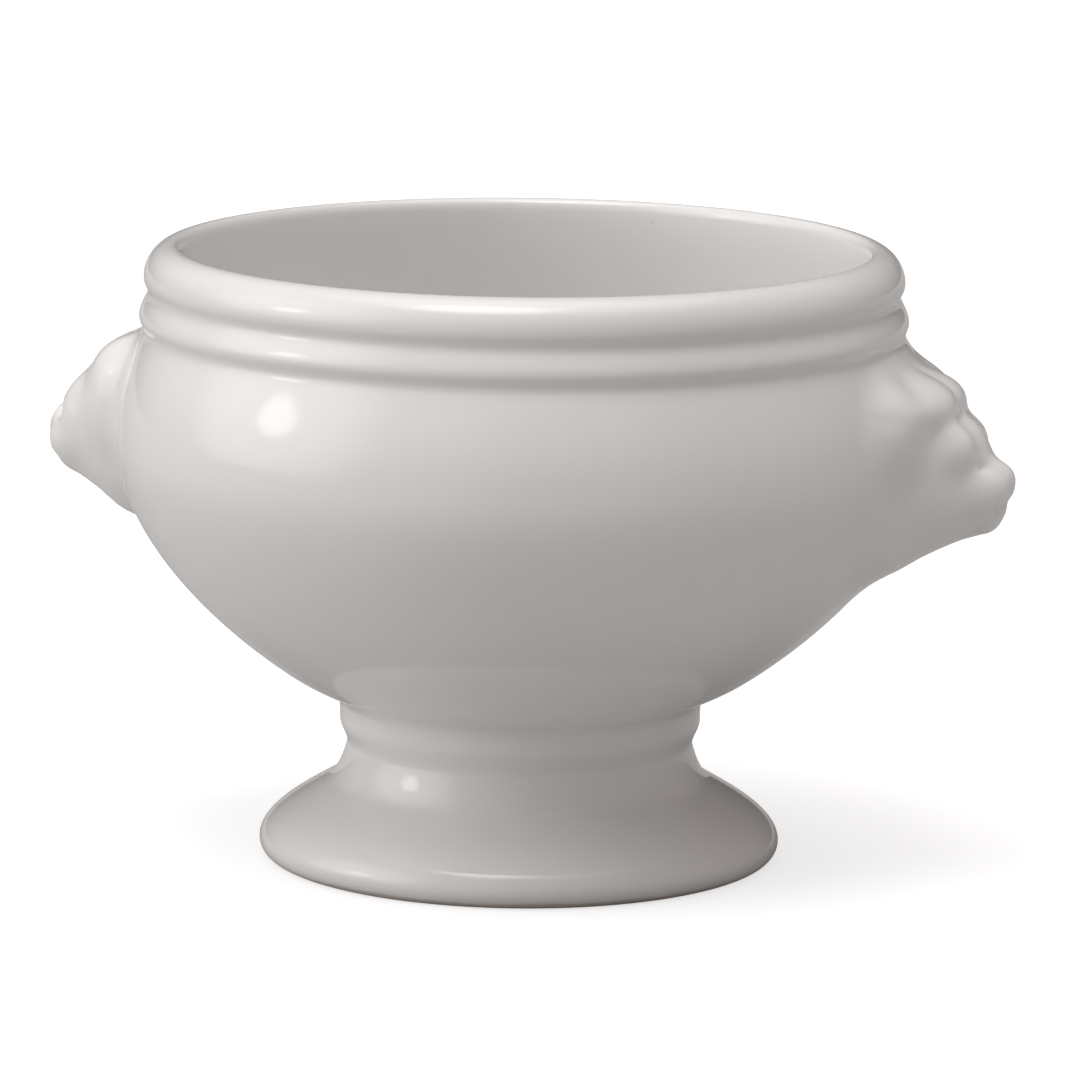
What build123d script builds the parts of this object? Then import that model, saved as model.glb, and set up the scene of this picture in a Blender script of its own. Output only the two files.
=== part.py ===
from build123d import *
import os
from math import cos, degrees, pi, sin

# Onion soup bowl on a pedestal foot, with a moulded lion head on each side.
# The origin is on the table under the middle of the foot, and the heads lie along X.
# All sizes are in millimetres.

# Pedestal foot
foot_height = 22.6
foot_wall = 4.6
rim_radius = 38.1
rim_rise = 2.4
rim_round = 2.3
contact_width = 2.6
bell_rise = 11.2
bell_flare = 2.7
neck_radius = 25.3
neck_drop = 5.8
collar_overhang = 1.1
collar_height = 2.2
collar_round = 0.5

# Layer of joining slip between two pieces
slip_thickness = 0.4

# Bowl
bowl_height = 67.0
bowl_wall = 4.4
belly_radius = 59.1
belly_rise_share = 0.552
floor_radius = 11.0
floor_thickness = 5.0

# Ring and rolled lip round the mouth
ring_radius = 55.95
ring_height = 5.6
lower_groove_depth = 0.6
lip_radius = 55.15
lip_height = 6.15
lip_thickness = 5.4
lip_crown = 1.6
lip_swell_share = 0.333
upper_groove_depth = 0.7

# Lion heads: they hang under the ring's groove, and their width and reach go with their height
head_clearance = 0.25
head_width_share = 1.055
head_reach_share = 0.378
lock_count = 12

# Pulls of the smooth curves, as shares of the rise or the run that each curve spans
BELLY_PULL_SHARES = (0.55, 0.26, 0.33)
SHOULDER_PULL_SHARES = (0.45, 0.35)
BELL_PULL_SHARES = (0.37, 0.43, 0.30)
NECK_PULL_SHARES = (0.60, 0.18, 0.08)
COLLAR_PULL_SHARES = (0.35, 0.35)
BEAD_PULL_SHARE = 0.55
HOLLOW_PULL_SHARES = (0.62, 0.3)
BASIN_PULL_SHARES = (0.52, 0.5)

# Sections of the head from the bowl to the nose: reach, rise, half width and half height.
# Reach is a share of the head's reach, rise and half height of its half height,
# and half width of its half width.
HEAD_SHARES = (
    (-0.82, 0.01, 0.97, 1.11),
    (-0.23, 0.09, 0.91, 0.97),
    (0.07, 0.09, 0.75, 0.79),
    (0.36, 0.07, 0.56, 0.63),
    (0.62, -0.05, 0.42, 0.44),
    (0.84, -0.13, 0.33, 0.25),
    (0.96, -0.09, 0.17, 0.10),
)

# Lobes on the middle of the face: middle as reach, side and rise, then half sizes in that order
NOSE_SHARES = (0.76, 0.00, -0.06, 0.24, 0.17, 0.13)
BRIDGE_SHARES = (0.49, 0.00, 0.31, 0.20, 0.15, 0.12)
CHIN_SHARES = (0.53, 0.00, -0.40, 0.28, 0.22, 0.14)

# Lobes that the face has on both sides, in the same order of shares
BROW_SHARES = (0.27, 0.23, 0.52, 0.20, 0.20, 0.12)
EYE_SHARES = (0.42, 0.37, 0.28, 0.21, 0.15, 0.16)
MUZZLE_SHARES = (0.70, 0.22, -0.17, 0.22, 0.17, 0.18)
EAR_SHARES = (-0.10, 0.64, 0.66, 0.28, 0.21, 0.24)

# One mane lock in the same order of half sizes, and the ring that the locks lie on
LOCK_SIZE_SHARES = (0.24, 0.26, 0.17)
LOCK_RING_SHARES = (-0.05, 0.72, 0.76)
LOCK_TUCK_SHARE = 0.08

# Places worked out from the sizes
seat_z = foot_height + slip_thickness
top_z = seat_z + bowl_height
belly_rise = belly_rise_share * bowl_height
belly_z = seat_z + belly_rise
upper_groove_z = top_z - lip_height
lower_groove_z = upper_groove_z - ring_height
collar_radius = neck_radius + collar_overhang
upper_groove_radius = lip_radius - upper_groove_depth
lower_groove_radius = ring_radius - lower_groove_depth
mouth_radius = lip_radius - lip_thickness
head_height = 2 * (lower_groove_z - belly_z - head_clearance)
head_width = head_width_share * head_height
head_reach = head_reach_share * head_height


def at(radius, height):
    """A point of a turned outline, in the plane that holds +X and +Z."""
    return Vector(radius, 0, height)


def bend(start, leave, arrive, end):
    """A smooth stretch that leaves start along one pull and comes into end along another."""
    return Bezier(start, start + leave, end - arrive, end)


def turned(lines):
    """The solid that a closed outline makes when it is turned about the upright axis."""
    return revolve(make_face(lines), Axis.Z)


def belly_outline():
    """From the seat on the foot, round the belly, to the groove under the ring."""
    low = at(collar_radius, seat_z)
    wide = at(belly_radius, belly_z)
    high = at(lower_groove_radius, lower_groove_z)
    out_share, up_share, stand_share = BELLY_PULL_SHARES
    stand, lean = SHOULDER_PULL_SHARES
    out = at(out_share * (wide.X - low.X), up_share * belly_rise)
    rise = high.Z - wide.Z
    lean_in = at(lean * (high.X - wide.X), lean * rise)
    return [
        bend(low, out, at(0, stand_share * belly_rise), wide),
        bend(wide, at(0, stand * rise), lean_in, high),
    ]


def mouth_outline():
    """From the lower groove, over the ring and the rolled lip, to the mouth's edge."""
    lower = at(lower_groove_radius, lower_groove_z)
    ring = at(ring_radius, lower_groove_z + ring_height / 2)
    upper = at(upper_groove_radius, upper_groove_z)
    lip = at(lip_radius, upper_groove_z + lip_swell_share * lip_height)
    crown = at(mouth_radius + lip_crown, top_z)
    edge = at(mouth_radius, top_z - lip_crown)
    ring_pull = at(0, BEAD_PULL_SHARE * ring_height / 2)
    lip_pull = at(0, BEAD_PULL_SHARE * (lip.Z - upper.Z))
    crown_rise = at(0, BEAD_PULL_SHARE * (crown.Z - lip.Z))
    crown_run = at(BEAD_PULL_SHARE * (crown.X - lip.X), 0)
    edge_run = at(BEAD_PULL_SHARE * (edge.X - crown.X), 0)
    edge_fall = at(0, BEAD_PULL_SHARE * (edge.Z - crown.Z))
    return [
        bend(lower, at(ring.X - lower.X, 0), ring_pull, ring),
        bend(ring, ring_pull, at(upper.X - ring.X, 0), upper),
        bend(upper, at(lip.X - upper.X, 0), lip_pull, lip),
        bend(lip, crown_rise, crown_run, crown),
        bend(crown, edge_run, edge_fall, edge),
    ]


def basin_outline():
    """From the mouth's edge, down the inside wall, to the middle of the floor."""
    edge = at(mouth_radius, top_z - lip_crown)
    wide = at(belly_radius - bowl_wall, belly_z)
    floor_z = seat_z + floor_thickness
    floor_edge = at(floor_radius, floor_z)
    drop = wide.Z - edge.Z
    fall, run = BASIN_PULL_SHARES
    return [
        bend(edge, at(0, drop * fall / 2), at(0, drop * fall), wide),
        bend(wide, at(0, (floor_z - wide.Z) * fall), at((floor_radius - wide.X) * run, 0), floor_edge),
        Line(floor_edge, at(0, floor_z)),
    ]


def make_bowl():
    """Bowl of one wall, from its flat seat to the rolled lip."""
    underside = [
        Line(at(0, seat_z), at(collar_radius, seat_z)),
    ]
    axis_line = [Line(at(0, seat_z + floor_thickness), at(0, seat_z))]
    return turned(underside + belly_outline() + mouth_outline() + basin_outline() + axis_line)


def make_foot():
    """Hollow bell foot: contact ring, round rim, bell, neck and collar."""
    contact = at(rim_radius - rim_round, 0)
    rim = at(rim_radius, rim_rise)
    bell = at(neck_radius + bell_flare, bell_rise)
    neck = at(neck_radius, foot_height - neck_drop)
    collar = at(collar_radius, foot_height - collar_height)
    edge = at(collar_radius, foot_height - collar_round)
    top = at(collar_radius - collar_round, foot_height)
    bore_radius = neck_radius - foot_wall
    bore_top = at(bore_radius, foot_height)
    bore_low = at(bore_radius, bell_rise)
    inner = at(contact.X - contact_width, 0)
    up_share, in_share, on_share = BELL_PULL_SHARES
    side_share, rise_share, fall_share = NECK_PULL_SHARES
    collar_low, collar_high = COLLAR_PULL_SHARES
    rim_in = at(in_share * (bell.X - rim.X), on_share * (bell.Z - rim.Z))
    neck_in = at(side_share * (neck.X - bell.X), rise_share * (neck.Z - bell.Z))
    neck_up = at(0, fall_share * (neck.Z - bell.Z))
    swell = collar.Z - neck.Z
    hollow_up, hollow_in = HOLLOW_PULL_SHARES
    outside = [
        bend(contact, at(rim_round * BEAD_PULL_SHARE, 0), at(0, rim_rise * BEAD_PULL_SHARE), rim),
        bend(rim, at(0, up_share * (bell.Z - rim.Z)), rim_in, bell),
        bend(bell, neck_in, neck_up, neck),
        bend(neck, at(0, collar_low * swell), at(0, collar_high * swell), collar),
        Line(collar, edge),
        bend(edge, at(0, collar_round * BEAD_PULL_SHARE), at(-collar_round * BEAD_PULL_SHARE, 0), top),
    ]
    inside = [
        Line(top, bore_top),
        Line(bore_top, bore_low),
        bend(bore_low, at(0, -hollow_in * bell_rise), at(0, -hollow_up * bell_rise), inner),
        Line(inner, contact),
    ]
    return turned(outside + inside)


def make_foot_seam():
    """Ring of slip between the collar and the bowl's seat."""
    outer = collar_radius - collar_round
    bore_radius = neck_radius - foot_wall
    ring = Circle(outer) - Circle(bore_radius)
    return Pos(0, 0, foot_height) * extrude(ring, slip_thickness)


def bowl_side(growth):
    """The bowl's outside from its seat to the crown of the lip, moved out by growth."""
    return [line.moved(Location((growth, 0, 0))) for line in belly_outline() + mouth_outline()[:-1]]


def bowl_blank(growth):
    """The bowl's outside as a full solid, grown sideways."""
    side = bowl_side(growth)
    low = side[0] @ 0
    high = side[-1] @ 1
    ends = [Line(high, at(0, high.Z)), Line(at(0, high.Z), at(0, low.Z)), Line(at(0, low.Z), low)]
    return turned(side + ends)


def slip_layer():
    """A skin of slip all over the bowl's outside."""
    inner = bowl_side(0)
    outer = bowl_side(slip_thickness)
    ends = [Line(inner[0] @ 0, outer[0] @ 0), Line(inner[-1] @ 1, outer[-1] @ 1)]
    return turned(inner + outer + ends)


def head_core():
    """The smooth wedge of the head, with a root that runs on to the middle of the bowl."""
    sections = []
    for reach, rise, half_side, half_rise in HEAD_SHARES:
        middle = (belly_radius + reach * head_reach, 0, belly_z + rise * head_height / 2)
        plane = Plane(origin=middle, x_dir=(0, 1, 0), z_dir=(1, 0, 0))
        sections.append(plane * Ellipse(half_side * head_width / 2, half_rise * head_height / 2))
    back = sections[0]
    return loft(sections) + extrude(back, back.center().X, dir=(-1, 0, 0))


def lobe(shares, side=1, turn=0):
    """One rounded lobe of a head, placed and sized by its shares and turned in the face."""
    reach, across, rise, half_reach, half_side, half_rise = shares
    half_width = head_width / 2
    half_height = head_height / 2
    size = (half_reach * head_reach, half_side * half_width, half_rise * half_height)
    middle = (reach * head_reach, side * across * half_width, rise * half_height)
    return Pos(belly_radius, 0, belly_z) * Pos(middle) * Rot(turn, 0, 0) * scale(Sphere(1), by=size)


def mane():
    """A ring of locks that point outwards, tucked back towards the belly at its lower half."""
    reach, ring_side, ring_rise = LOCK_RING_SHARES
    locks = []
    for index in range(lock_count):
        angle = 2 * pi * (index + 1 / 2) / lock_count
        tuck = LOCK_TUCK_SHARE * min(0, sin(angle))
        middle = (reach + tuck, ring_side * cos(angle), ring_rise * sin(angle))
        locks.append(lobe(middle + LOCK_SIZE_SHARES, turn=degrees(angle)))
    return locks


def head_blank():
    """The right head as one solid that runs on into the bowl behind it."""
    lobes = [lobe(shares) for shares in (NOSE_SHARES, BRIDGE_SHARES, CHIN_SHARES)]
    for side in (1, -1):
        lobes += [lobe(shares, side) for shares in (BROW_SHARES, EYE_SHARES, MUZZLE_SHARES, EAR_SHARES)]
    return head_core().fuse(*lobes, *mane())


def make_heads():
    """Both lion heads and the slip behind each, cut to the bowl's outside."""
    blank = head_blank()
    right = blank - bowl_blank(slip_thickness)
    right_seam = blank & slip_layer()
    half_turn = Rot(0, 0, 180)
    return {
        "lion_head_right": right,
        "lion_head_right_luting_seam": right_seam,
        "lion_head_left": half_turn * right,
        "lion_head_left_luting_seam": half_turn * right_seam,
    }


nodes = {
    "bowl": make_bowl(),
    "pedestal_foot": make_foot(),
    "foot_luting_seam": make_foot_seam(),
}
nodes.update(make_heads())
os.makedirs("parts", exist_ok=True)
for name, solid in nodes.items():
    solid.label = name
    export_step(solid, f"parts/{name}.step")
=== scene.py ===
import bpy
import numpy as np
from math import cos, pi, sin
from mathutils import Matrix, Vector


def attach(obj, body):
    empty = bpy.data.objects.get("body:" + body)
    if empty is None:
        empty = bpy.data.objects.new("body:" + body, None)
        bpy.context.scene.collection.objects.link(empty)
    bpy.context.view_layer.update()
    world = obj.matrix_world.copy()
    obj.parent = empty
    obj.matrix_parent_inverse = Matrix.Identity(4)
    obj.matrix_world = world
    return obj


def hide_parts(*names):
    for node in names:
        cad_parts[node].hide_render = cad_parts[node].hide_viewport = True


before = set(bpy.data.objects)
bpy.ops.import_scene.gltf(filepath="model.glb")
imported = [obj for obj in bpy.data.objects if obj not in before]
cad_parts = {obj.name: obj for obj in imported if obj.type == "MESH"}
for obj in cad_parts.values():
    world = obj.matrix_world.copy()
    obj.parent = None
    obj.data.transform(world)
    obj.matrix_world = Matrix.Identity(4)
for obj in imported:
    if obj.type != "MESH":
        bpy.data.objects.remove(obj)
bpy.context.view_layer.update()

# Lengths and places are in millimetres until a mesh is made or the camera is placed
MM = 0.001

# The least value that is divided by
NEAR_ZERO = 1e-9

# Turned outlines: each stretch is a cubic curve, as radius and height of its four control points
FOOT_OUTSIDE = (
    ((35.8, 0.0), (37.07, 0.0), (38.1, 1.08), (38.1, 2.4)),
    ((38.1, 2.4), (38.1, 5.66), (32.34, 8.56), (28.0, 11.2)),
    ((28.0, 11.2), (26.38, 12.21), (25.3, 16.35), (25.3, 16.8)),
    ((25.3, 16.8), (25.3, 18.06), (26.4, 19.14), (26.4, 20.4)),
    ((26.4, 20.4), (26.4, 21.0), (26.4, 21.5), (26.4, 22.1)),
    ((26.4, 22.1), (26.4, 22.4), (26.2, 22.6), (25.9, 22.6)),
)
FOOT_INSIDE = (
    ((25.9, 22.6), (24.2, 22.6), (22.4, 22.6), (20.7, 22.6)),
    ((20.7, 22.6), (20.7, 18.8), (20.7, 15.0), (20.7, 11.2)),
    ((20.7, 11.2), (20.7, 7.84), (33.2, 6.94), (33.2, 0.9)),
    ((33.2, 0.9), (33.2, 0.4), (33.5, 0.0), (34.0, 0.0)),
)
BOWL_UNDERSIDE = (
    ((0.0, 23.0), (8.6, 23.0), (17.2, 23.0), (25.8, 23.0)),
    ((25.8, 23.0), (26.2, 23.0), (26.4, 23.4), (26.6, 23.9)),
)
BOWL_OUTSIDE = (
    ((26.6, 23.9), (28.9, 24.75), (32.0, 26.19), (34.43, 27.81)),
    ((34.43, 27.81), (48.63, 37.4), (59.1, 50.52), (59.1, 61.4)),
    ((59.1, 61.4), (59.1, 67.2), (57.7, 71.8), (55.3, 77.2)),
    ((55.3, 77.2), (55.15, 77.75), (55.15, 78.0), (55.4, 78.5)),
    ((55.4, 78.5), (55.65, 79.0), (55.8, 79.2), (55.8, 79.7)),
    ((55.8, 79.7), (55.8, 80.9), (54.9, 82.0), (54.6, 82.9)),
    ((54.6, 82.9), (54.45, 83.3), (54.5, 83.7), (54.8, 84.2)),
    ((54.8, 84.2), (55.05, 84.5), (55.15, 84.9), (55.15, 85.4)),
    ((55.15, 85.4), (55.15, 87.8), (53.3, 90.0), (51.0, 90.0)),
)
BOWL_INSIDE = (
    ((51.0, 90.0), (50.3, 90.0), (49.75, 89.3), (49.75, 88.4)),
    ((49.75, 88.4), (49.75, 81.0), (54.7, 74.8), (54.7, 60.0)),
    ((54.7, 60.0), (54.7, 43.4), (32.9, 28.0), (11.0, 28.0)),
    ((11.0, 28.0), (7.4, 28.0), (3.7, 28.0), (0.0, 28.0)),
)
JOINT_GLAZE = (
    ((25.2, 20.6), (25.6, 20.6), (26.0, 20.6), (26.36, 20.6)),
    ((26.36, 20.6), (26.385, 21.2), (26.41, 21.8), (26.46, 22.4)),
    ((26.46, 22.4), (26.5, 23.1), (26.85, 23.68), (27.4, 24.02)),
    ((27.4, 24.02), (27.9, 24.32), (28.5, 24.63), (29.1, 24.96)),
    ((29.1, 24.96), (28.2, 25.0), (26.6, 25.0), (25.2, 24.8)),
    ((25.2, 24.8), (25.2, 23.4), (25.2, 22.0), (25.2, 20.6)),
)
OUTLINE_STEP = 0.3
TURN_STEPS = 384

# How far the glaze softens the corners of an outline, the steps in that, and its reach in steps
GLAZE_ROUNDING = 0.2
ROUNDING_STEPS = 4
ROUNDING_REACH = 3 * ROUNDING_STEPS

# Sections of the lion heads: distance out from the middle of the bowl, height, half height, half width
RIGHT_SECTIONS = (
    (44.0, 60.5, 18.6, 19.5),
    (50.0, 60.8, 17.7, 19.2),
    (56.0, 60.7, 15.3, 17.8),
    (60.0, 60.2, 12.4, 13.2),
    (64.0, 59.0, 9.2, 9.4),
    (67.5, 57.8, 6.5, 6.4),
    (70.5, 57.0, 4.2, 4.4),
    (72.0, 57.8, 2.0, 2.6),
    (72.8, 58.2, 0.6, 0.9),
)
LEFT_SECTIONS = (
    (44.0, 60.5, 15.6, 11.6),
    (50.0, 60.8, 15.4, 11.8),
    (56.0, 60.9, 14.6, 12.0),
    (60.0, 60.6, 12.8, 11.6),
    (64.0, 60.8, 10.2, 9.4),
    (67.0, 60.0, 7.7, 7.0),
    (69.5, 59.2, 5.6, 5.2),
    (71.5, 59.0, 3.2, 3.4),
    (72.6, 59.0, 0.8, 1.2),
)

# How square the sections are, how fast the wedge's distance grows beside them, how far the curve
# through them may run past a section, their least half size, and the flat that ends the nose
WEDGE_POWER = 2.5
WEDGE_SLOPE = 0.72
SECTION_OVERRUN_SHARES = (-0.5, 1.6)
LEAST_HALF_SIZE = 0.25
HEAD_TIP = 72.5
TIP_BLEND = 1.0

# Rounded forms on each half of a face, in order: kind, middle, half sizes, turn, blend.
# A form is added to the clay, or pressed out of it. The right head's are the mane over the face, a brow,
# the mane beside it, an eyelid, the bridge of the nose, an eye, a whisker pad, the nose and the chin.
RIGHT_FORMS = (
    ("add", (57.0, 0.0, 69.6), (6.6, 15.5, 3.6), 0.0, 2.6),
    ("add", (59.0, 3.9, 69.8), (5.0, 5.2, 3.2), -0.15, 3.0),
    ("add", (54.8, 12.8, 66.4), (5.8, 6.2, 7.4), 0.2, 3.4),
    ("add", (63.8, 5.3, 64.1), (3.7, 3.2, 3.5), 0.3, 2.2),
    ("add", (65.0, 0.0, 63.6), (3.2, 3.4, 4.0), 0.0, 3.0),
    ("press", (70.2, 4.2, 61.3), (2.4, 1.3, 0.9), -0.2, 1.4),
    ("add", (67.0, 3.2, 57.8), (3.9, 3.2, 3.4), 0.0, 2.0),
    ("add", (69.4, 0.0, 59.6), (3.0, 2.3, 2.2), 0.0, 1.6),
    ("add", (66.4, 0.0, 54.2), (3.5, 3.4, 2.4), 0.0, 1.8),
)
# The left head has softer detail. Its forms are the mane over the face, the mane beside it, an eyelid,
# the dip between the eyes, an eye, a whisker pad and the nose.
LEFT_FORMS = (
    ("add", (57.0, 0.0, 69.6), (6.0, 11.6, 3.6), 0.0, 3.6),
    ("add", (59.0, 7.6, 65.5), (4.6, 4.0, 7.5), 0.2, 3.2),
    ("add", (64.6, 4.4, 62.0), (3.8, 2.7, 5.2), 0.2, 3.2),
    ("press", (70.2, 0.0, 65.6), (2.0, 2.0, 2.4), 0.0, 1.6),
    ("press", (70.4, 3.4, 62.4), (2.4, 1.4, 0.9), -0.2, 1.6),
    ("add", (67.2, 3.0, 57.8), (4.0, 3.0, 3.2), 0.0, 1.8),
    ("add", (69.6, 0.0, 59.8), (2.8, 2.1, 2.1), 0.0, 1.2),
)
# The mouth: a rod pressed into each half of a face, as its two ends and their radii, and its blend
MOUTH_LINE = ((72.7, 0.0, 55.8), (71.2, 3.6, 55.2), 0.7, 0.5)
MOUTH_BLEND = 1.4

# The fillet from a head to the bowl
HEAD_FILLET = 2.4

# The heads: the side that each is on, how far out and up it was set from its plain place,
# its sections and its forms
HEADS = (
    ("lion_head_right", 1, ((0.0, 0.0, 0.0), RIGHT_SECTIONS, RIGHT_FORMS)),
    ("lion_head_left", -1, ((-0.7, 0.0, 0.5), LEFT_SECTIONS, LEFT_FORMS)),
)

# The block of space that a head is worked out in and its grid, how often the grid's points are moved
# on to the head's skin, and the step that the skin's direction is measured over
HEAD_LOW = (44.0, -26.0, 34.0)
HEAD_SPAN = (32.0, 52.0, 52.0)
HEAD_GRID = 0.5
SKIN_PASSES = 2
SLOPE_STEP = 0.05

# A head's skin ends where it rises this little over the bowl, and its border dips under the glaze
CROP_RISE = 0.002
TUCK_RISE = 0.012
TUCK_DEPTH = 0.06

# The glaze, in metres as a shader takes them: its tone where it lies thin and where it pools, the
# scale of that and the shares of it that are all thin and all thick, and its waves (scale and depth)
GLAZE_THIN = (0.815, 0.81, 0.805, 1)
GLAZE_THICK = (0.785, 0.78, 0.772, 1)
POOL_SCALE = 28.0
POOL_SHARES = (0.3, 0.7)
GLAZE_WAVES = ((60.0, 0.0002), (420.0, 0.00001))
WAVE_STRENGTH = 0.25
GLAZE_ROUGHNESS = 0.075
GLAZE_IOR = 1.5

# The specks under the glaze: their scale, and the shares of a cell that a speck ends and is full at
SPECK_COLOUR = (0.55, 0.5, 0.45, 1)
SPECK_SCALE = 75.0
SPECK_SHARES = (0.022, 0.008)

# The bare clay that the foot stands on: how high it shows, how that swings and how soft its edge is
BARE_COLOUR = (0.6, 0.55, 0.5, 1)
BARE_ROUGHNESS = 0.6
BARE_HEIGHT = 0.0012
BARE_SWING = 0.0008
BARE_SWING_SCALE = 110.0
BARE_SOFTNESS = 0.0003

# The camera, turned round the bowl from its front: the picture is 1080 pixels wide
FRAME_PIXELS = 1080
FOCAL_PIXELS = 6968.25
SENSOR = 36.0
CAMERA_DISTANCE = 1000.0
CAMERA_NEAREST = 10.0
CAMERA_HEIGHT = 231.922
CAMERA_AZIMUTH = 14 * pi / 180
CAMERA_YAW = 0.00265
CAMERA_PITCH = 0.18325
CAMERA_ROLL = 0.01107

# The floor, its size in metres, and the white that the camera sees on it beside the light on it
FLOOR_SIZE = 6
FLOOR_COLOUR = (0.43, 0.43, 0.43, 1)
FLOOR_ROUGHNESS = 0.9
FLOOR_WHITE = 0.7

# Light from all round, the patch behind the bowl that is dimmed, and the soft round lights: each as
# azimuth, elevation, reach and even core in degrees, and how much it dims or lights
AMBIENT_COLOUR = (1.0, 0.88, 0.82, 1)
LIGHT_COLOUR = (0.985, 0.985, 0.985, 1)
AMBIENT = 0.275
DIM_BACK = (194, 5, 62, 15, 0.2)
SOFT_LIGHTS = (
    (-63, 19, 8, 4, 3.7),
    (-63, 20, 38, 0, 2.05),
    (-14, 73, 20, 0, 4.4),
    (0, 89, 40, 0, 1.76),
    (80, 2, 60, 0, 0.2),
)


def curve_points(control, step):
    """Points along one cubic curve, about a step apart, with the last one left out."""
    a, b, c, d = (np.array(point) for point in control)
    length = sum(np.linalg.norm(q - p) for p, q in ((a, b), (b, c), (c, d)))
    t = np.linspace(0, 1, max(3, int(length / step) + 1))[:-1, None]
    return (1 - t) ** 3 * a + 3 * (1 - t) ** 2 * t * b + 3 * (1 - t) * t * t * c + t ** 3 * d


def outline_points(curves, step=OUTLINE_STEP):
    """Points along several curves that follow each other, with the last end."""
    runs = [curve_points(control, step) for control in curves]
    return np.concatenate(runs + [np.array([curves[-1][3]])])


def glazed(points, rounding):
    """The outline with its corners softened, as glaze fills grooves and thins on edges."""
    steps = np.linalg.norm(np.diff(points, axis=0), axis=1)
    along = np.concatenate([[0], np.cumsum(steps)])
    even = np.arange(0, along[-1], rounding / ROUNDING_STEPS)
    path = np.stack([np.interp(even, along, points[:, i]) for i in range(2)], 1)
    reach = np.arange(-ROUNDING_REACH, ROUNDING_REACH + 1)
    weight = np.exp(-0.5 * (reach / ROUNDING_STEPS) ** 2)
    weight /= weight.sum()
    ends = np.pad(path, ((ROUNDING_REACH, ROUNDING_REACH), (0, 0)), mode="edge")
    soft = np.stack([np.convolve(ends[:, i], weight, mode="valid") for i in range(2)], 1)
    soft = np.stack([np.interp(along, even, soft[:, i]) for i in range(2)], 1)
    soft[0], soft[-1] = points[0], points[-1]
    return soft


def mesh_object(name, points, faces):
    """A smooth mesh object, given its points in millimetres."""
    mesh = bpy.data.meshes.new(name)
    mesh.from_pydata((np.asarray(points) * MM).tolist(), [], [list(face) for face in faces])
    mesh.polygons.foreach_set("use_smooth", [True] * len(mesh.polygons))
    mesh.update()
    thing = bpy.data.objects.new(name, mesh)
    bpy.context.scene.collection.objects.link(thing)
    return thing


def turned(name, outline, closed):
    """A mesh turned about the upright axis. An open outline starts and ends on the axis."""
    angles = np.arange(TURN_STEPS) * 2 * pi / TURN_STEPS
    ring = outline if closed else outline[1:-1]
    radius, height = ring[:, :1], ring[:, 1:]
    points = np.stack([radius * np.cos(angles), radius * np.sin(angles), height + 0 * angles], -1)
    rows = len(ring)
    lower = np.arange(rows if closed else rows - 1)[:, None] * TURN_STEPS
    upper = (np.arange(1, len(lower) + 1)[:, None] % rows) * TURN_STEPS
    here = np.arange(TURN_STEPS)[None, :]
    there = (here + 1) % TURN_STEPS
    quads = np.stack([lower + here, lower + there, upper + there, upper + here], -1).reshape(-1, 4)
    points = points.reshape(-1, 3)
    faces = quads.tolist()
    if not closed:
        first, last = len(points), len(points) + 1
        points = np.concatenate([points, [[0, 0, outline[0][1]], [0, 0, outline[-1][1]]]])
        base = (rows - 1) * TURN_STEPS
        faces += [[first, (i + 1) % TURN_STEPS, i] for i in range(TURN_STEPS)]
        faces += [[last, base + i, base + (i + 1) % TURN_STEPS] for i in range(TURN_STEPS)]
    return mesh_object(name, points, faces)


def soft_min(a, b, width):
    """The lower of two distances, with a fillet of that width between them."""
    share = np.clip(0.5 + 0.5 * (b - a) / width, 0, 1)
    return b + (a - b) * share - width * share * (1 - share)


def soft_max(a, b, width):
    """The higher of two distances, with a fillet between them."""
    return -soft_min(-a, -b, width)


def section_value(sections, out, column):
    """A head section's value at a distance out, on a smooth curve through the sections."""
    table = np.array(sections)
    x, y = table[:, 0], table[:, column]
    slope = np.gradient(y, x)
    i = np.clip(np.searchsorted(x, out) - 1, 0, len(x) - 2)
    span = x[i + 1] - x[i]
    t = np.clip((out - x[i]) / span, *SECTION_OVERRUN_SHARES)
    start = (2 * t ** 3 - 3 * t ** 2 + 1) * y[i] + (t ** 3 - 2 * t ** 2 + t) * span * slope[i]
    end = (3 * t ** 2 - 2 * t ** 3) * y[i + 1] + (t ** 3 - t ** 2) * span * slope[i + 1]
    return start + end


def wedge_distance(points, sections):
    """Distance to the plain wedge of the head."""
    out = points[..., 0]
    middle = section_value(sections, out, 1)
    half_height = np.maximum(section_value(sections, out, 2), LEAST_HALF_SIZE)
    half_width = np.maximum(section_value(sections, out, 3), LEAST_HALF_SIZE)
    across, up = np.abs(points[..., 1]) / half_width, np.abs(points[..., 2] - middle) / half_height
    share = (across ** WEDGE_POWER + up ** WEDGE_POWER) ** (1 / WEDGE_POWER) - 1
    side = share * np.minimum(half_height, half_width) * WEDGE_SLOPE
    return soft_max(side, out - HEAD_TIP, TIP_BLEND)


def lump_distance(points, middle, half_sizes, turn):
    """Distance to an ellipsoid that is turned in the plane of the face."""
    q = points - np.array(middle)
    c, s = cos(turn), sin(turn)
    q = np.stack([q[..., 0], c * q[..., 1] + s * q[..., 2], c * q[..., 2] - s * q[..., 1]], -1)
    size = np.array(half_sizes)
    near = np.linalg.norm(q / size, axis=-1)
    far = np.linalg.norm(q / size ** 2, axis=-1)
    return near * (near - 1) / np.maximum(far, NEAR_ZERO)


def rod_distance(points, start, end, start_radius, end_radius):
    """Distance to a round-ended rod between two points."""
    start, end = np.array(start), np.array(end)
    line = end - start
    along = np.clip(((points - start) @ line) / (line @ line), 0, 1)
    radius = start_radius + (end_radius - start_radius) * along
    return np.linalg.norm(points - start - along[..., None] * line, axis=-1) - radius


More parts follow.
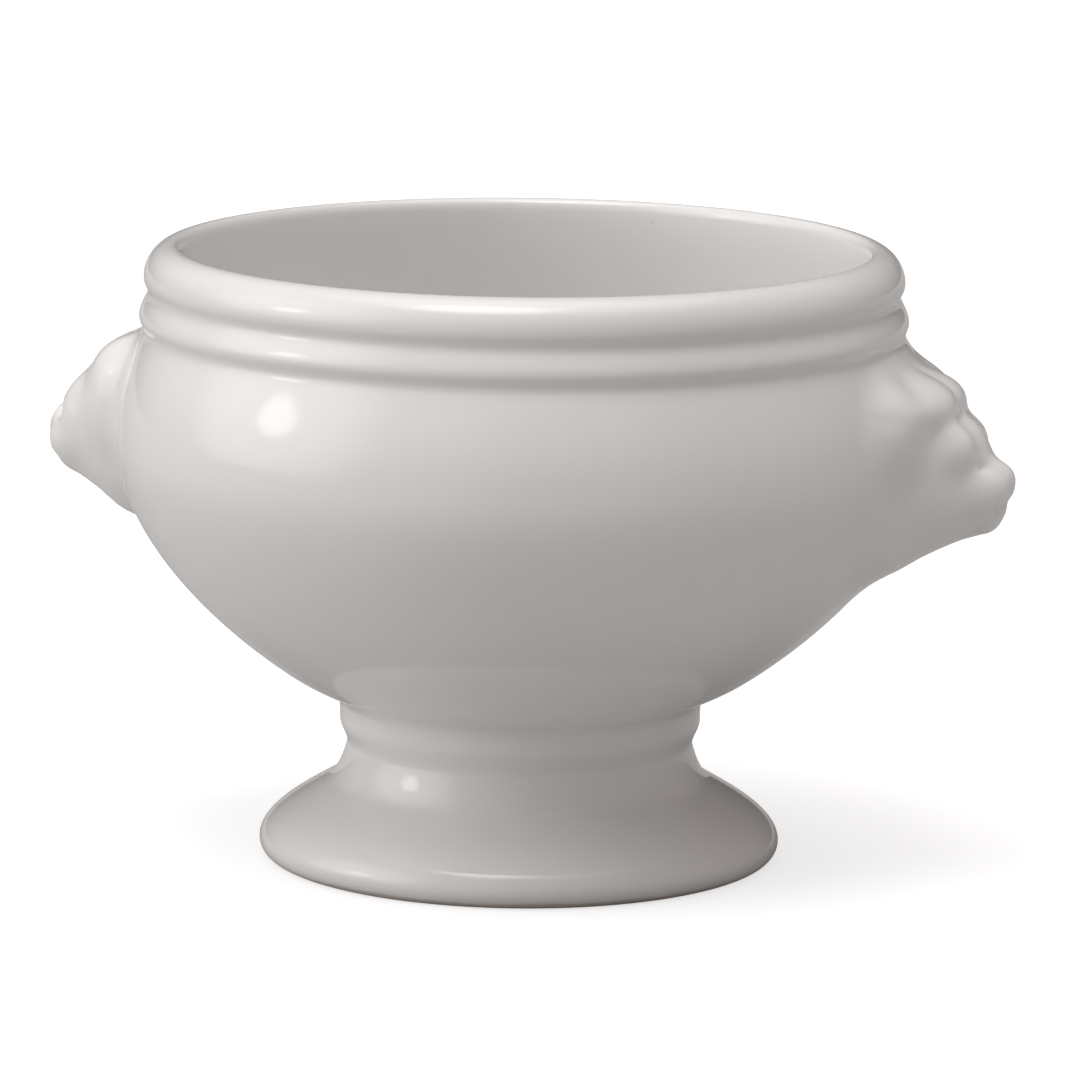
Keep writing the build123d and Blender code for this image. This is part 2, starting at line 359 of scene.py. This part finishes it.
def head_distance(points, head):
    """Distance to the clay of a lion head at +X, the same on both sides of its middle."""
    shift, sections, forms = head
    points = points - np.array(shift)
    points = np.stack([points[..., 0], np.abs(points[..., 1]), points[..., 2]], -1)
    clay = wedge_distance(points, sections)
    for kind, middle, half_sizes, turn, blend in forms:
        form = lump_distance(points, middle, half_sizes, turn)
        clay = soft_min(clay, form, blend) if kind == "add" else soft_max(clay, -form, blend)
    clay = soft_max(clay, -rod_distance(points, *MOUTH_LINE), MOUTH_BLEND)
    return clay


def bowl_distance(points, outside):
    """Distance to the bowl's outside, near enough to it for a fillet."""
    radius = np.hypot(points[..., 0], points[..., 1])
    slope = np.gradient(outside[:, 0], outside[:, 1])
    wall = np.interp(points[..., 2], outside[:, 1], outside[:, 0])
    return (radius - wall) * np.interp(points[..., 2], outside[:, 1], 1 / np.hypot(1, slope))


def glazed_head_distance(points, outside, head):
    """Distance to head and bowl together, with the glaze and slip filleted between them."""
    return soft_min(bowl_distance(points, outside), head_distance(points, head), HEAD_FILLET)


def direction_of(points, outside, head, step=SLOPE_STEP):
    """The slope of the glazed head's distance at each point."""
    ahead = [glazed_head_distance(points + s, outside, head) for s in np.eye(3) * step]
    behind = [glazed_head_distance(points - s, outside, head) for s in np.eye(3) * step]
    return np.stack([(a - b) / (2 * step) for a, b in zip(ahead, behind)], -1)


def skin_of(field):
    """Points and four-sided faces where a field on a grid changes sign, in grid steps."""
    inside = field < 0
    corners = [(i, j, k) for i in (0, 1) for j in (0, 1) for k in (0, 1)]
    cut = [slice(None, -1), slice(1, None)]
    total = sum(inside[cut[i], cut[j], cut[k]].astype(int) for i, j, k in corners)
    active = (total > 0) & (total < 8)
    cells = np.argwhere(active)
    index = np.full(active.shape, -1)
    index[active] = np.arange(len(cells))
    sums, counts = np.zeros((len(cells), 3)), np.zeros(len(cells))
    for corner in corners:
        for axis in range(3):
            if corner[axis]:
                continue
            other = np.array(corner)
            other[axis] = 1
            near = field[tuple((cells + corner).T)]
            far = field[tuple((cells + other).T)]
            crossing = (near < 0) != (far < 0)
            place = cells[crossing] + np.array(corner, float)
            place[:, axis] += near[crossing] / (near[crossing] - far[crossing])
            sums[crossing] += place
            counts[crossing] += 1
    faces = []
    for axis in range(3):
        u, v = (axis + 1) % 3, (axis + 2) % 3
        low, high = [slice(None)] * 3, [slice(None)] * 3
        low[axis], high[axis] = cut
        edges = np.argwhere(inside[tuple(low)] != inside[tuple(high)])
        within = (edges[:, u] > 0) & (edges[:, v] > 0)
        within &= (edges[:, u] < field.shape[u] - 1) & (edges[:, v] < field.shape[v] - 1)
        edges = edges[within]
        quad = []
        for du, dv in ((1, 1), (0, 1), (0, 0), (1, 0)):
            cell = edges.copy()
            cell[:, u] -= du
            cell[:, v] -= dv
            quad.append(index[tuple(cell.T)])
        quad = np.stack(quad, 1)
        outward = inside[tuple(edges.T)]
        quad[~outward] = quad[~outward][:, ::-1]
        faces.append(quad)
    return sums / counts[:, None], np.concatenate(faces)


def head_skin(outside, head):
    """A head's glazed skin, out to where it runs into the bowl's own surface."""
    low = np.array(HEAD_LOW)
    counts = (np.array(HEAD_SPAN) / HEAD_GRID).astype(int) + 1
    axes = [low[i] + HEAD_GRID * np.arange(counts[i]) for i in range(3)]
    half = axes[1] >= -NEAR_ZERO
    grid = np.stack(np.meshgrid(axes[0], axes[1][half], axes[2], indexing="ij"), -1)
    field = glazed_head_distance(grid, outside, head)
    points, faces = skin_of(np.concatenate([field[:, :0:-1], field], 1))
    points = points * HEAD_GRID + low
    for _ in range(SKIN_PASSES):
        slope = direction_of(points, outside, head)
        away = glazed_head_distance(points, outside, head)
        points = points - slope * (away / np.maximum((slope ** 2).sum(-1), NEAR_ZERO))[:, None]
    return points, faces


def cropped_head(outside, head):
    """The head's skin without the bowl's bare surface, its border tucked just under the glaze."""
    points, faces = head_skin(outside, head)
    rise = bowl_distance(points, outside)
    kept = faces[(rise[faces].max(1) > CROP_RISE)]
    used, kept = np.unique(kept, return_inverse=True)
    kept = kept.reshape(-1, 4)
    points, rise = points[used], rise[used]
    normals = direction_of(points, outside, head)
    normals /= np.linalg.norm(normals, axis=1, keepdims=True)
    tuck = TUCK_DEPTH * np.clip(1 - rise / TUCK_RISE, 0, 1) ** 2
    return points - normals * tuck[:, None], kept, normals


def make_heads(outside):
    """Both lion heads: the left one is turned half way round the bowl."""
    pieces = []
    for name, side, head in HEADS:
        points, faces, normals = cropped_head(outside, head)
        turn = np.array((side, side, 1))
        piece = mesh_object(name + "_glazed", points * turn, faces)
        piece.data.normals_split_custom_set_from_vertices((normals * turn).tolist())
        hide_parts(name, name + "_luting_seam")
        pieces.append(piece)
    return pieces


def mixed_colour(nodes, links, share, first, second):
    """The first colour passing into the second as the share goes from 0 to 1."""
    mix = nodes.new("ShaderNodeMixRGB")
    for socket, colour in (("Color1", first), ("Color2", second)):
        if isinstance(colour, tuple):
            mix.inputs[socket].default_value = colour
        else:
            links.new(colour, mix.inputs[socket])
    links.new(share, mix.inputs["Fac"])
    return mix.outputs["Color"]


def noise_share(nodes, links, place, scale):
    """A soft cloud of shares around a half."""
    noise = nodes.new("ShaderNodeTexNoise")
    noise.inputs["Scale"].default_value = scale
    noise.inputs["Detail"].default_value = 1.0
    links.new(place, noise.inputs["Vector"])
    return noise.outputs["Fac"]


def stepped_share(nodes, links, value, start, stop):
    """0 where the value is at the start, 1 where it is at the stop, and even between them."""
    step = nodes.new("ShaderNodeMapRange")
    step.inputs["From Min"].default_value = start
    step.inputs["From Max"].default_value = stop
    links.new(value, step.inputs["Value"])
    return step.outputs["Result"]


def speck_share(nodes, links, place):
    """1 in each tiny speck under the glaze, and 0 around it."""
    cells = nodes.new("ShaderNodeTexVoronoi")
    cells.inputs["Scale"].default_value = SPECK_SCALE
    links.new(place, cells.inputs["Vector"])
    return stepped_share(nodes, links, cells.outputs["Distance"], *SPECK_SHARES)


def bare_share(nodes, links, place):
    """1 on the bare ring under the foot and 0 above it, with an uneven edge of glaze between."""
    height = nodes.new("ShaderNodeSeparateXYZ")
    sag = nodes.new("ShaderNodeMath")
    sag.operation = "MULTIPLY_ADD"
    sag.inputs[1].default_value = BARE_SWING
    links.new(place, height.inputs["Vector"])
    links.new(noise_share(nodes, links, place, BARE_SWING_SCALE), sag.inputs[0])
    links.new(height.outputs["Z"], sag.inputs[2])
    return stepped_share(nodes, links, sag.outputs["Value"], BARE_HEIGHT + BARE_SOFTNESS, BARE_HEIGHT)


def glaze_waves(nodes, links, place):
    """The slow waves and the fine skin of a poured glaze, as the direction of its surface."""
    direction = None
    for scale, depth in GLAZE_WAVES:
        bump = nodes.new("ShaderNodeBump")
        bump.inputs["Strength"].default_value = WAVE_STRENGTH
        bump.inputs["Distance"].default_value = depth
        links.new(noise_share(nodes, links, place, scale), bump.inputs["Height"])
        if direction is not None:
            links.new(direction, bump.inputs["Normal"])
        direction = bump.outputs["Normal"]
    return direction


def porcelain():
    """Clear glossy glaze with faint waves and specks on white porcelain, bare under the foot."""
    material = bpy.data.materials.new("glazed_porcelain")
    material.use_nodes = True
    nodes, links = material.node_tree.nodes, material.node_tree.links
    shader = nodes["Principled BSDF"]
    shader.inputs["IOR"].default_value = GLAZE_IOR
    place = nodes.new("ShaderNodeTexCoord").outputs["Object"]
    cloud = stepped_share(nodes, links, noise_share(nodes, links, place, POOL_SCALE), *POOL_SHARES)
    glaze = mixed_colour(nodes, links, cloud, GLAZE_THIN, GLAZE_THICK)
    speckled = mixed_colour(nodes, links, speck_share(nodes, links, place), glaze, SPECK_COLOUR)
    bare = bare_share(nodes, links, place)
    links.new(mixed_colour(nodes, links, bare, speckled, BARE_COLOUR), shader.inputs["Base Color"])
    gloss = nodes.new("ShaderNodeMapRange")
    gloss.inputs["To Min"].default_value = GLAZE_ROUGHNESS
    gloss.inputs["To Max"].default_value = BARE_ROUGHNESS
    links.new(bare, gloss.inputs["Value"])
    links.new(gloss.outputs["Result"], shader.inputs["Roughness"])
    links.new(glaze_waves(nodes, links, place), shader.inputs["Normal"])
    return material


def make_object():
    """The bowl, its foot and both heads, in glazed porcelain."""
    outside = glazed(outline_points(BOWL_OUTSIDE), GLAZE_ROUNDING)
    under = outline_points(BOWL_UNDERSIDE)
    inside = outline_points(BOWL_INSIDE)
    bowl = turned("bowl_glazed", np.concatenate([under[:-1], outside[:-1], inside]), False)
    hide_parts("bowl")
    foot_line = np.concatenate([outline_points(FOOT_OUTSIDE)[:-1], outline_points(FOOT_INSIDE)])
    foot = turned("pedestal_foot_glazed", foot_line, True)
    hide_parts("pedestal_foot")
    joint = turned("foot_joint_glaze", outline_points(JOINT_GLAZE)[:-1], True)
    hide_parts("foot_luting_seam")
    pieces = [bowl, foot, joint] + make_heads(outside)
    glaze = porcelain()
    for piece in pieces:
        piece.data.materials.append(glaze)
        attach(piece, "root")


def make_camera():
    """The photograph's camera, turned with the bowl's own frame."""
    camera = bpy.data.objects.new("camera", bpy.data.cameras.new("camera"))
    bpy.context.scene.collection.objects.link(camera)
    yaw, pitch, roll = CAMERA_YAW, CAMERA_PITCH, CAMERA_ROLL
    ahead = Vector((sin(yaw) * cos(pitch), cos(yaw) * cos(pitch), -sin(pitch)))
    side = Vector((cos(yaw), -sin(yaw), 0))
    down = ahead.cross(side)
    right = side * cos(roll) - down * sin(roll)
    up = -(side * sin(roll) + down * cos(roll))
    turn = Matrix.Rotation(CAMERA_AZIMUTH, 4, "Z")
    place = Vector((0, -CAMERA_DISTANCE, CAMERA_HEIGHT)) * MM
    stand = Matrix.Translation(place) @ Matrix((right, up, -ahead)).transposed().to_4x4()
    camera.matrix_world = turn @ stand
    camera.data.lens = FOCAL_PIXELS / FRAME_PIXELS * SENSOR
    camera.data.sensor_width = SENSOR
    camera.data.clip_start = CAMERA_NEAREST * MM
    bpy.context.scene.camera = camera


def toward(azimuth, elevation):
    """The unit vector from the bowl to an azimuth and an elevation, in degrees."""
    turn, lift = azimuth * pi / 180, elevation * pi / 180
    return Vector((sin(turn) * cos(lift), -cos(turn) * cos(lift), sin(lift)))


def pale_floor():
    """A pale matt floor that looks white to the camera, apart from the shadow on it."""
    material = bpy.data.materials.new("pale_floor")
    material.use_nodes = True
    nodes, links = material.node_tree.nodes, material.node_tree.links
    matt = nodes["Principled BSDF"]
    matt.inputs["Base Color"].default_value = FLOOR_COLOUR
    matt.inputs["Roughness"].default_value = FLOOR_ROUGHNESS
    white = nodes.new("ShaderNodeEmission")
    white.inputs["Strength"].default_value = FLOOR_WHITE
    path = nodes.new("ShaderNodeLightPath")
    shown = nodes.new("ShaderNodeMixShader")
    both = nodes.new("ShaderNodeAddShader")
    links.new(matt.outputs["BSDF"], both.inputs[0])
    links.new(white.outputs["Emission"], both.inputs[1])
    links.new(path.outputs["Is Camera Ray"], shown.inputs["Fac"])
    links.new(matt.outputs["BSDF"], shown.inputs[1])
    links.new(both.outputs["Shader"], shown.inputs[2])
    links.new(shown.outputs["Shader"], nodes["Material Output"].inputs["Surface"])
    return material


def soft_light(nodes, links, direction, azimuth, elevation, reach, core, strength):
    """A round patch of light in the surroundings that fades out towards its edge."""
    dot = nodes.new("ShaderNodeVectorMath")
    dot.operation = "DOT_PRODUCT"
    dot.inputs[1].default_value = toward(azimuth, elevation)
    fade = nodes.new("ShaderNodeMapRange")
    fade.interpolation_type = "SMOOTHSTEP"
    fade.inputs["From Min"].default_value = cos(reach * pi / 180)
    fade.inputs["From Max"].default_value = cos(core * pi / 180)
    fade.inputs["To Max"].default_value = strength
    links.new(direction, dot.inputs[0])
    links.new(dot.outputs["Value"], fade.inputs["Value"])
    return fade.outputs["Result"]


def make_world():
    """Soft studio light from all round, which the camera sees as plain white."""
    world = bpy.data.worlds.new("studio")
    world.use_nodes = True
    nodes, links = world.node_tree.nodes, world.node_tree.links
    ambient = nodes["Background"]
    ambient.inputs["Color"].default_value = AMBIENT_COLOUR
    direction = nodes.new("ShaderNodeTexCoord").outputs["Generated"]
    dimmed = nodes.new("ShaderNodeMath")
    dimmed.operation = "SUBTRACT"
    dimmed.inputs[0].default_value = AMBIENT
    links.new(soft_light(nodes, links, direction, *DIM_BACK), dimmed.inputs[1])
    links.new(dimmed.outputs["Value"], ambient.inputs["Strength"])
    total = ambient.outputs["Background"]
    for azimuth, elevation, reach, core, strength in SOFT_LIGHTS:
        light = nodes.new("ShaderNodeBackground")
        light.inputs["Color"].default_value = LIGHT_COLOUR
        fade = soft_light(nodes, links, direction, azimuth, elevation, reach, core, strength)
        both = nodes.new("ShaderNodeAddShader")
        links.new(fade, light.inputs["Strength"])
        links.new(total, both.inputs[0])
        links.new(light.outputs["Background"], both.inputs[1])
        total = both.outputs["Shader"]
    white = nodes.new("ShaderNodeBackground")
    white.inputs["Color"].default_value = (1, 1, 1, 1)
    path = nodes.new("ShaderNodeLightPath")
    mix = nodes.new("ShaderNodeMixShader")
    links.new(path.outputs["Is Camera Ray"], mix.inputs["Fac"])
    links.new(total, mix.inputs[1])
    links.new(white.outputs["Background"], mix.inputs[2])
    links.new(mix.outputs["Shader"], nodes["World Output"].inputs["Surface"])
    bpy.context.scene.world = world


def make_studio():
    """The plain pale floor and the soft light from all round."""
    bpy.ops.mesh.primitive_plane_add(size=FLOOR_SIZE)
    floor = bpy.context.object
    floor.name = "floor"
    floor.data.materials.append(pale_floor())
    make_world()


make_object()
make_camera()
make_studio()
bpy.context.scene.view_settings.view_transform = "Standard"
bpy.context.view_layer.update()
